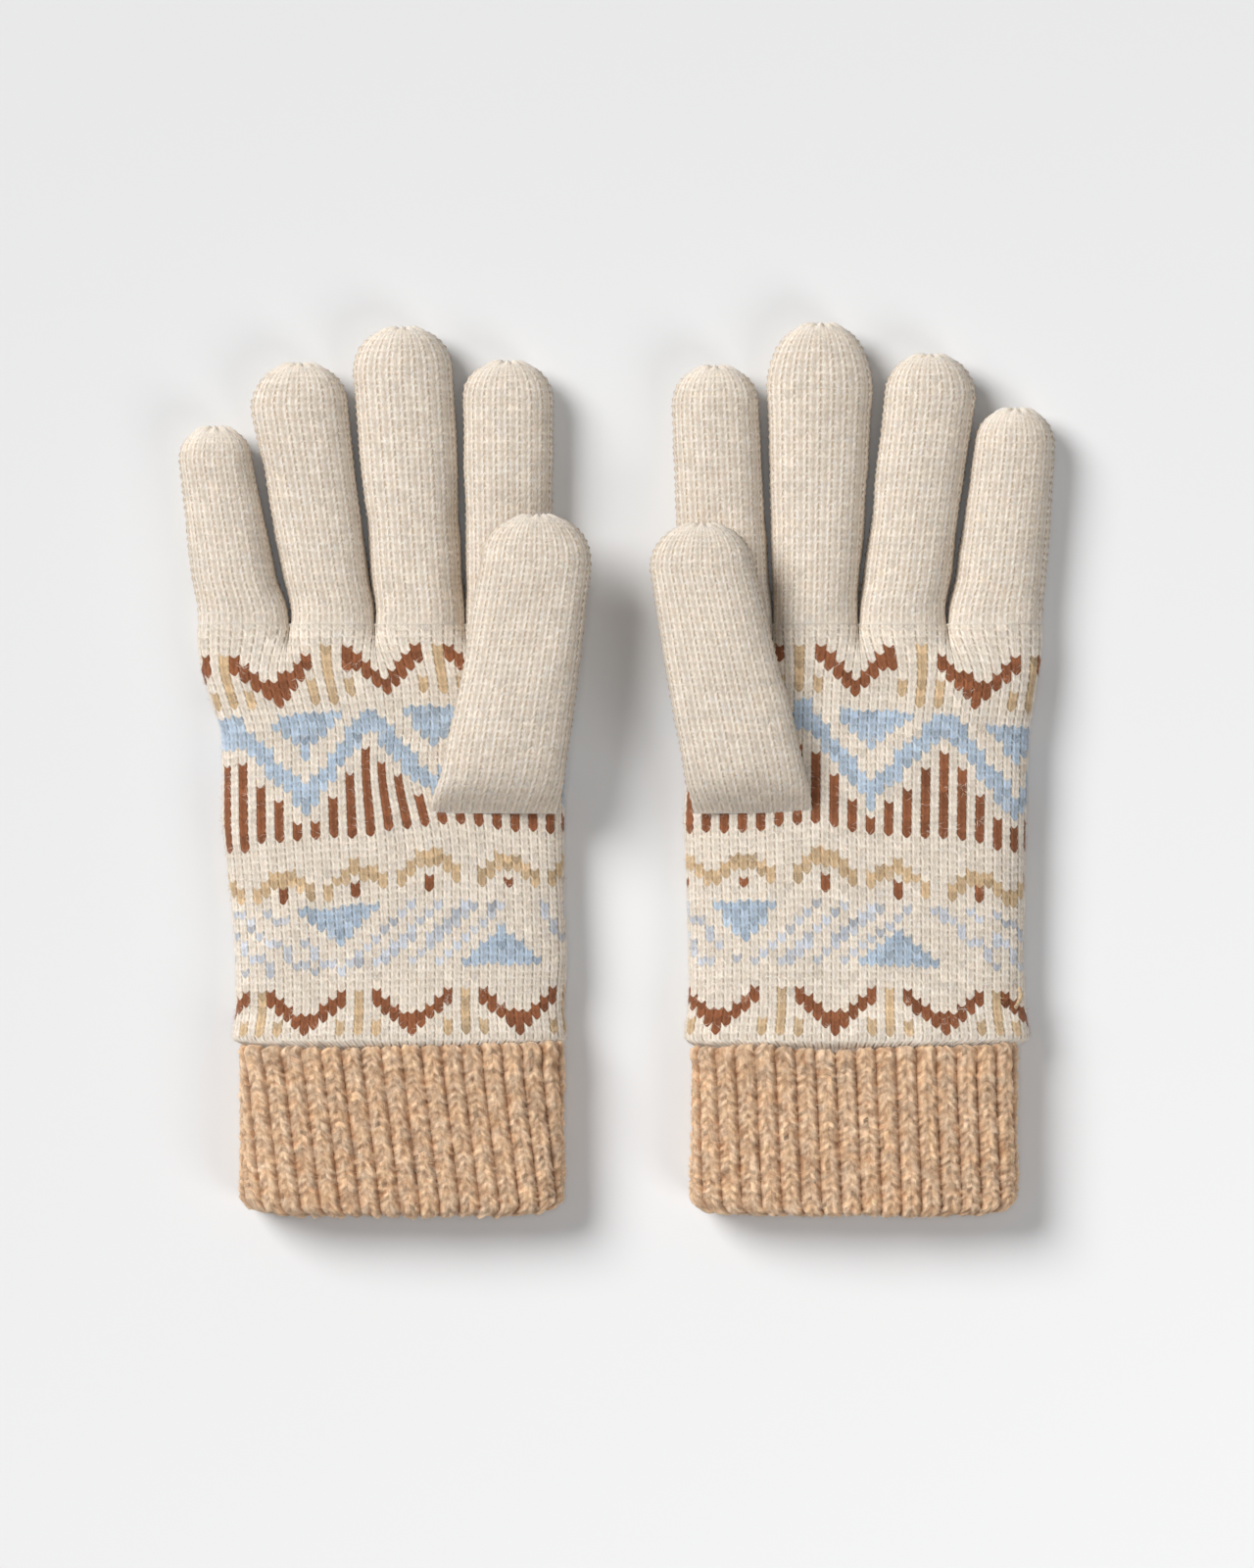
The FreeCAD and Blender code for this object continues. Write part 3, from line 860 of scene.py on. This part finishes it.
def knit_hand(side, seed):
    grid = hand_grid(side)
    count_r, count_c = grid.shape[:2]
    r, c = np.indices((count_r, count_c)).astype(float)
    hill = soft_noise(c, r, count_c, 14, 34, seed) * 0.45
    hill += soft_noise(c, r, count_c, 40, 11, seed + 1) * 0.16
    low_part = smooth((r - 12) / 24.0)
    inside = 1 - smooth((r - 215) / 6.0)
    normal = soften(outward(grid))
    grid = grid + normal * (hill * low_part * inside)[..., None]
    # the rows sag towards the little finger, and the thumb lifts the ones beside it
    courses = r / ROWS
    sag = 3.4 * toward_little(side, c, count_c) ** 1.15 * smooth(courses / 11.0)
    sag = sag * (1 - 0.62 * smooth((courses - 34) / 14.0)) * (1 - smooth((courses - 49) / 7.0))
    thumb_x = sum(OUTLINES[side + "_thumb"][0][0][1:]) / 2
    inner = thumb_x - 15 if side == "right" else thumb_x + 15
    palm = c < count_c / 2
    lift = 2.4 * np.exp(-((grid[..., 0] - inner) / 13.0) ** 2 - ((grid[..., 1] + 17.0) / 17.0) ** 2) * palm
    # on the right-hand glove the thumb also pulls those wales out of line
    if side == "right":
        pull = np.exp(-((grid[..., 0] - inner + 4) / 15.0) ** 2 - ((grid[..., 1] + 8.0) / 17.0) ** 2)
        grid[..., 0] -= 0.24 * (grid[..., 1] + 14.0) * pull * palm
    shift = (sag - lift) / STEP
    shift += soft_noise(c, r, count_c, 24, 22, seed + 4) * 0.9 * low_part
    shift -= zigzag(count_c)[None, :] * ROWS * (1 - np.exp(-r / 2.4))
    shift += soft_noise(c, r, count_c, WALES, 5, seed + 6) * 0.9 * smooth(r / 8.0)
    grid = slide_rows(grid, shift)
    normal = soften(outward(grid))
    relief = leg_relief(count_r, count_c, seed + 2, 0.62)
    fade = 1 - 0.5 * np.exp(-r / 2.4)
    grid = grid + normal * (relief * 0.40 * fade)[..., None]
    grid[..., 2] = np.maximum(grid[..., 2], 0.02)
    # depth is low in the pits, where the material paints shade
    depth = np.clip(relief, 0, 1) * fade + (1 - fade) * 0.6
    i = np.arange(WALES)[None, :] + 0.5
    j = (np.arange(HAND_COURSES)[:, None] + 0.5) * 1.0275
    # near the little finger the pattern starts a course later
    j = j - 1.05 * toward_little(side, i, WALES) * (1 - smooth((j - 34) / 18.0))
    codes = chart(side, i, j)
    colour = per_face(vary(codes, seed + 3, 0.05), count_r, count_c)
    return grid, normal, colour, depth, codes


for side in ORDER:
    grid, normal, colour, depth, codes = knit_hand(side, 7 if side == "right" else 307)
    hand = make_cloth(side + "_hand_knit", grid, colour, depth, 0)
    hand.data.materials.append(CREAM_KNIT)
    loose = []
    for yarn, word in enumerate(WORDS):
        chosen = codes == yarn
        if yarn == CREAM:  # and a few strays on the other colours
            chosen |= np.random.default_rng(9).random(codes.shape) < 0.05
        loose.append(hairs(side + "_hand_hairs_" + word, grid[:SHOWN_ROWS], normal[:SHOWN_ROWS],
                           40000 if yarn == CREAM else 26000, 1.6, HAIR[word], 5, only=chosen))
    for o in [hand] + loose:
        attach(o, side + "_glove")
    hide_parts(side + "_hand")
    print(side, "hand:", len(hand.data.polygons), "faces")

# %% [markdown]
# ## The rib cuff
# The cuff is one sleeve of rib, turned back at the wrist. Walking along it from the hidden end
# of the outer layer, the path goes up to the free lip, over it, down the outside, round the fold
# and up the inside. A rib is a round ridge with a narrow groove. Each ridge carries two legs of
# stitches, and the yarn is thick and uneven, so the relief here is the strongest of the glove.

# %% Path of the cuff and its ribs
RIBS = 36
RIB_COLS = 12
RIB_ROWS = 7
RIB_COURSE = 2.7


def cuff_path(low, high):
    """(y, how far in from the outline) every step along the sleeve."""
    corners = [(high - 12, 2.0), (high - 1.2, 1.9)]
    for a in np.linspace(0, math.pi, 9):
        corners.append((high - 1.0 + 1.0 * math.sin(a), 0.75 + 1.1 * math.cos(a)))
    corners += [(high - 2.2, -0.3), (high - 7, 0.0), (low + 3.2, 0.0)]
    for a in np.linspace(0, math.pi, 13)[1:]:
        corners.append((low + 2.6 - 2.6 * math.sin(a), 2.5 - 2.5 * math.cos(a)))
    corners += [(low + 6, 5.0), (low + 39.4, 5.0)]
    corners = np.array(corners)
    run = np.concatenate([[0], np.cumsum(np.hypot(*np.diff(corners, axis=0).T))])
    count = int(run[-1] / (RIB_COURSE / RIB_ROWS))
    at = np.linspace(0, run[-1], count)
    return np.stack([np.interp(at, run, corners[:, 0]), np.interp(at, run, corners[:, 1])], -1)


low, high = node_box("right_cuff_turned_back")
print("the sleeve's path has", len(cuff_path(low[1], high[1])), "rows")

# %% Knit the cuffs
def knit_cuff(side, twist, seed):
    low, high = node_box(side + "_cuff_turned_back")
    path = cuff_path(low[1], high[1])
    columns = RIBS * RIB_COLS
    c = np.arange(columns)
    grid = np.empty((len(path), columns, 3))
    for k, (y, d) in enumerate(path):
        where = (c / columns + twist / RIBS * (high[1] - y) / 44.0) % 1.0
        x, z = round_section(low[0] + d, high[0] - d, low[2] + d, high[2] - d, where, 3.9, 4.2)
        # the lip waves and curls up at its corners, the fold at the wrist is rounded there
        corner = np.clip(abs(x - (low[0] + high[0]) / 2) / ((high[0] - low[0]) / 2), 0, 1)
        lip = smooth((y - high[1] + 9) / 7.0)
        wave = soft_noise(c, 0 * c, columns, 9, 9, seed) * lip
        rise = 3.0 * corner ** 7 * smooth((low[1] + 14 - y) / 14.0)
        rise += 1.3 * corner ** 6 * lip
        grid[k] = np.stack([x, y + rise + wave, z], -1)
    count_r = len(path)
    r, cc = np.indices((count_r, columns)).astype(float)
    normal = soften(outward(grid), 3)
    hill = soft_noise(cc, r, columns, 16, 30, seed + 1) * 0.4
    grid = grid + normal * hill[..., None]
    # ridges and grooves, then legs on the ridges, then the lumps of the thick yarn
    s = (cc % RIB_COLS) / RIB_COLS
    t = (r % RIB_ROWS) / RIB_ROWS
    ridge = abs(np.sin(np.pi * s)) ** 0.62
    legs = abs(np.sin(2 * np.pi * s)) ** 0.8 * (0.55 + 0.45 * np.sin(np.pi * t) ** 0.8)
    g = np.random.default_rng(seed + 2)
    each = g.uniform(0.3, 1.3, (count_r // RIB_ROWS + 2, RIBS * 2))
    legs = legs * each[(r // RIB_ROWS).astype(int), (cc * 2 // RIB_COLS).astype(int)]
    lumps = soft_noise(cc, r, columns, RIBS * 5, 2.6, seed + 3)
    slant = abs(2 * s - 1) * RIB_ROWS * 0.5
    grid = slide_rows(grid, np.where(r > 6, slant, 0) * np.clip((count_r - 8 - r) / 6, 0, 1))
    normal = soften(outward(grid), 3)
    fine = soft_noise(cc, r, columns, RIBS * 7, 1.7, seed + 7)
    relief = 0.9 * ridge + 0.42 * legs + 0.36 * lumps + 0.24 * fine - 0.45
    grid = grid + normal * relief[..., None]
    grid[..., 2] = np.maximum(grid[..., 2], 0.02)
    # depth is low in the grooves between ribs, where the material paints shade
    depth = np.clip(0.5 * ridge + 0.32 * legs + 0.26 * lumps + 0.2 * fine, 0, 1)
    light = 1 + g.normal(0, 0.13, (count_r // 3 + 2, RIBS * 4))
    tone = light[(r[:-1] // 3).astype(int), (cc[:-1] * 4 // RIB_COLS).astype(int)][..., None]
    warm = soft_noise(cc[:-1], r[:-1], columns, 80, 6, seed + 5)[..., None] * np.array([0.05, 0.0, -0.07])
    colour = np.clip(TAN * tone * (1 + warm), 0, 1)
    return grid, normal, colour, depth


for side, twist in (("right", 1.0), ("left", 0.35)):
    grid, normal, colour, depth = knit_cuff(side, twist, 500 if side == "right" else 700)
    cuff = make_cloth(side + "_cuff_knit", grid, colour, depth, 0, RIB_COLS, RIB_ROWS)
    cuff.data.materials.append(TAN_RIB)
    fuzz = hairs(side + "_cuff_hairs", grid[30:], normal[30:], 9000, 1.5, HAIR["tan"], 6)
    for o in (cuff, fuzz):
        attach(o, side + "_glove")
    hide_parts(side + "_cuff_turned_back", side + "_cuff_under_layer")
    print(side, "cuff:", len(cuff.data.polygons), "faces")

# %% [markdown]
# ## Single yarns
# Some pieces are just a length of yarn: the one that draws a fingertip together, the stitches
# that close the forks between the fingers, the loops round the foot of the thumb and a loose
# end. Each is a thin tube along a path, with two strands twisted round each other pressed into
# its surface. A curve with a bevel would do as well, but a mesh takes the same finish as the
# cloth.

# %% A length of yarn along a path
def yarn_material(name, colour):
    mat, shader = new_material(name, {"Specular IOR Level": 0.18, "Sheen Weight": 0.2, "Roughness": 0.9})
    place = add_node(mat, "TexCoord").outputs["Object"]
    fibres = add_node(mat, "TexNoise", {"Scale": 1400.0, "Detail": 3.0}, {"Vector": place}).outputs["Fac"]
    ramp = add_node(mat, "ValToRGB", links={"Fac": fibres})
    dark, light = ramp.color_ramp.elements
    dark.position, dark.color = 0.32, (*(colour * 0.62), 1)
    light.position, light.color = 0.68, (*np.clip(colour * 1.1, 0, 1), 1)
    mat.node_tree.links.new(ramp.outputs["Color"], shader.inputs["Base Color"])
    fibre_bump(mat, shader, fibres, 0.6, 0.0002)
    return mat


def yarn_tube(paths, radius):
    """Vertices and faces of round yarns along several paths, in mm."""
    verts, faces, sides = [], [], 8
    for path in paths:
        path = np.array(path, float)
        along = np.gradient(path, axis=0)
        along /= np.linalg.norm(along, axis=1, keepdims=True)
        first = np.cross(along, (0.13, 0.31, 0.94))
        first /= np.linalg.norm(first, axis=1, keepdims=True)
        second = np.cross(along, first)
        start, last = len(verts), len(path) - 1
        for k, p in enumerate(path):
            for m in range(sides):
                a = 2 * math.pi * m / sides
                swell = radius * (1 + 0.16 * math.cos(2 * a + k * 0.9))
                swell *= 1.0 if 0 < k < last else 0.3
                verts.append(p + swell * (first[k] * math.cos(a) + second[k] * math.sin(a)))
        for k in range(last):
            for m in range(sides):
                a, b = start + k * sides + m, start + k * sides + (m + 1) % sides
                faces.append((a, b, b + sides, a + sides))
        faces.append(tuple(start + m for m in range(sides))[::-1])
        faces.append(tuple(start + last * sides + m for m in range(sides)))
    return np.array(verts), faces


def yarn_piece(name, paths, radius, material, body, slot, *nodes):
    verts, faces = yarn_tube(paths, radius)
    verts[:, 2] = np.maximum(verts[:, 2], 0.05)
    obj = add_mesh(name, verts, faces)
    obj.data.shade_smooth()
    obj.data.materials.append(material)
    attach(obj, body)
    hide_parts(*nodes)
    return obj


YARN = {word: yarn_material(word + "_yarn", YARNS[n]) for n, word in enumerate(WORDS)}
YARN["elastic"] = yarn_material("elastic_yarn", linear((238, 236, 230)))
print("single yarns:", list(YARN))

# %% The yarn that draws in each fingertip
for side, names in ORDER.items():
    pulls = [tip_pull(digit_seed(side, n)) for n in range(4)] + [THUMB_PULL]
    for finger, pull in zip(names + ["thumb"], pulls):
        label = side + "_" + finger
        low, high = node_box(label + "_tip_gather")
        x, z = (low[0] + high[0]) / 2, (low[2] + high[2]) / 2 + pull
        turns = np.linspace(0, 4 * math.pi, 40)
        reach = 0.85 - 0.5 * turns / turns[-1]
        y = high[1] - 1.7 + 0.35 * np.sin(3 * turns) + 0.5 * np.arange(40) / 40
        knot = np.stack([x + reach * np.cos(turns), y, z + reach * np.sin(turns)], -1)
        yarn_piece(label + "_tip_knot", [knot], 0.42, YARN["cream"], label + "_tip", "cream_knit",
                   label + "_tip_gather")
print("ten fingertips are drawn in")

# %% The stitches at the forks, the loops round the thumb's foot and the loose end
LOOPS, LOOP_STEPS = 26, 12

for side in ORDER:
    paths = []
    for x in CROTCH[side][1:-1]:
        for z0 in (5.4, 7.0, 8.6):
            sweep = np.linspace(-1, 1, 9)
            paths.append([(x + 1.1 * t, KNUCKLE - 0.1 - 0.9 * t * t, z0 + 0.6 * t) for t in sweep])
    yarn_piece(side + "_fork_stitches", paths, 0.32, YARN["cream"], side + "_glove", "cream_knit",
               side + "_finger_fork_darning")
    low, high = node_box(side + "_thumb_join")
    cx, cy = (low[0] + high[0]) / 2, (low[1] + high[1]) / 2
    hx, hy = (high[0] - low[0]) / 2 - 0.7, (high[1] - low[1]) / 2 - 0.7
    loops = []
    for k in range(LOOPS * LOOP_STEPS + 1):
        a, b = 2 * math.pi * k / (LOOPS * LOOP_STEPS), 2 * math.pi * k / LOOP_STEPS
        ex, ey = math.cos(a), math.sin(a)
        px = cx + hx * math.copysign(abs(ex) ** 0.5, ex) + 0.5 * math.cos(b) * ex
        py = cy + hy * math.copysign(abs(ey) ** 0.5, ey) + 0.5 * math.cos(b) * ey
        loops.append((px, py, 15.55 + 0.45 * math.sin(b)))
    yarn_piece(side + "_thumb_loops", [loops], 0.34, YARN["cream"], side + "_glove", "cream_knit",
               side + "_thumb_join")
low, high = node_box("left_yarn_tail")
end = [(high[0] - 0.4 + 1.5 * math.sin(2.4 * t) + 0.6, low[1] + (high[1] - low[1]) * t,
        13.2 + 2.4 * math.sin(math.pi * t)) for t in np.linspace(0, 1, 24)]
yarn_piece("left_loose_end", [end], 0.55, YARN["ochre"], "left_glove", "ochre_yarn", "left_yarn_tail")
print("forks, thumb loops and loose end are on")

# %% [markdown]
# ## What lies hidden
# The coloured yarns that cross the inside of the hand, the elastic in the rib and the linking
# between hand and rib stay as the measured model has them. They only show deep in the wrist
# opening, so they just need the right yarn.

# %% Yarns on the hidden pieces
HIDDEN = {"brown_yarn_floats": "brown", "blue_yarn_floats": "blue", "ochre_yarn_floats": "ochre",
          "cuff_elastic": "elastic", "cuff_linking": "cream"}
for side in ORDER:
    for node, word in HIDDEN.items():
        for slot in frame["nodes"][side + "_" + node].material_slots:
            slot.material = YARN[word]
print("hidden pieces:", 2 * len(HIDDEN))

# %% [markdown]
# ## Table, light and camera
# The gloves lie on a pale table and are seen straight from above. A long lens keeps both gloves
# free of perspective. The main light is a soft panel up and to the left, so the shadows fall
# down and to the right. A weak lamp overhead reaches into the gaps between the fingers, a low one
# brightens the near side, and a pale world fills what is left. The table's colour also carries
# painted light: it is a little lighter towards the near right.

# %% Table
corners = np.array([(-3000, -3000, 0), (3000, -3000, 0), (3000, 3000, 0), (-3000, 3000, 0)])
floor = add_mesh("table", corners, [(0, 1, 2, 3)])
paint, shader = new_material("table_colour_and_painted_light", {"Roughness": 0.95, "Specular IOR Level": 0.1})
# painted light: the table's colour is made a little lighter towards the near right corner, as if more light
# fell there
spot = add_node(paint, "TexCoord").outputs["Object"]
slope = add_node(paint, "VectorMath", {1: (0.35, -0.94, 0.0)}, {0: spot}, {"operation": "DOT_PRODUCT"})
painted_light_tones = {"From Min": -0.22, "From Max": 0.22, "To Min": 0.755, "To Max": 0.835}
shade = add_node(paint, "MapRange", painted_light_tones, {"Value": slope.outputs["Value"]})
paint.node_tree.links.new(shade.outputs["Result"], shader.inputs["Base Color"])
floor.data.materials.append(paint)
print("table is", floor.dimensions.x, "m wide")

# %% Lights
def panel(name, place, size, watts):
    data = bpy.data.lights.new(name, "AREA")
    data.shape, data.size, data.energy = "DISK", size, watts
    lamp = add_object(name, data)
    lamp.location = place
    lamp.rotation_euler = (-lamp.location).to_track_quat("-Z", "Y").to_euler()


panel("main_panel", (-4.5, 3.1, 4.75), 4.1, 565)
panel("overhead", (-0.05, 0.05, 2.6), 0.45, 6.5)
panel("low_fill", (0.9, -0.8, 0.9), 0.8, 6.0)
world = bpy.data.worlds.new("studio")
world.use_nodes = True
world.node_tree.nodes["Background"].inputs["Color"].default_value = (0.97, 0.98, 1.0, 1)
world.node_tree.nodes["Background"].inputs["Strength"].default_value = 0.17
bpy.context.scene.world = world
bpy.context.scene.view_settings.view_transform = "Standard"

# %% Camera
DISTANCE = 2.4
FRAME_TALL = 0.424      # metres of table from top to bottom of the view
FOCUS_HIGH = 0.007      # height in metres at which that holds
lens = bpy.data.cameras.new("camera")
lens.lens = 36.0 * (DISTANCE - FOCUS_HIGH) / FRAME_TALL
camera = add_object("camera", lens)
camera.location = (0.00265, -0.0046, DISTANCE)
bpy.context.scene.camera = camera
print("lens", round(lens.lens, 1), "mm at", DISTANCE, "m")
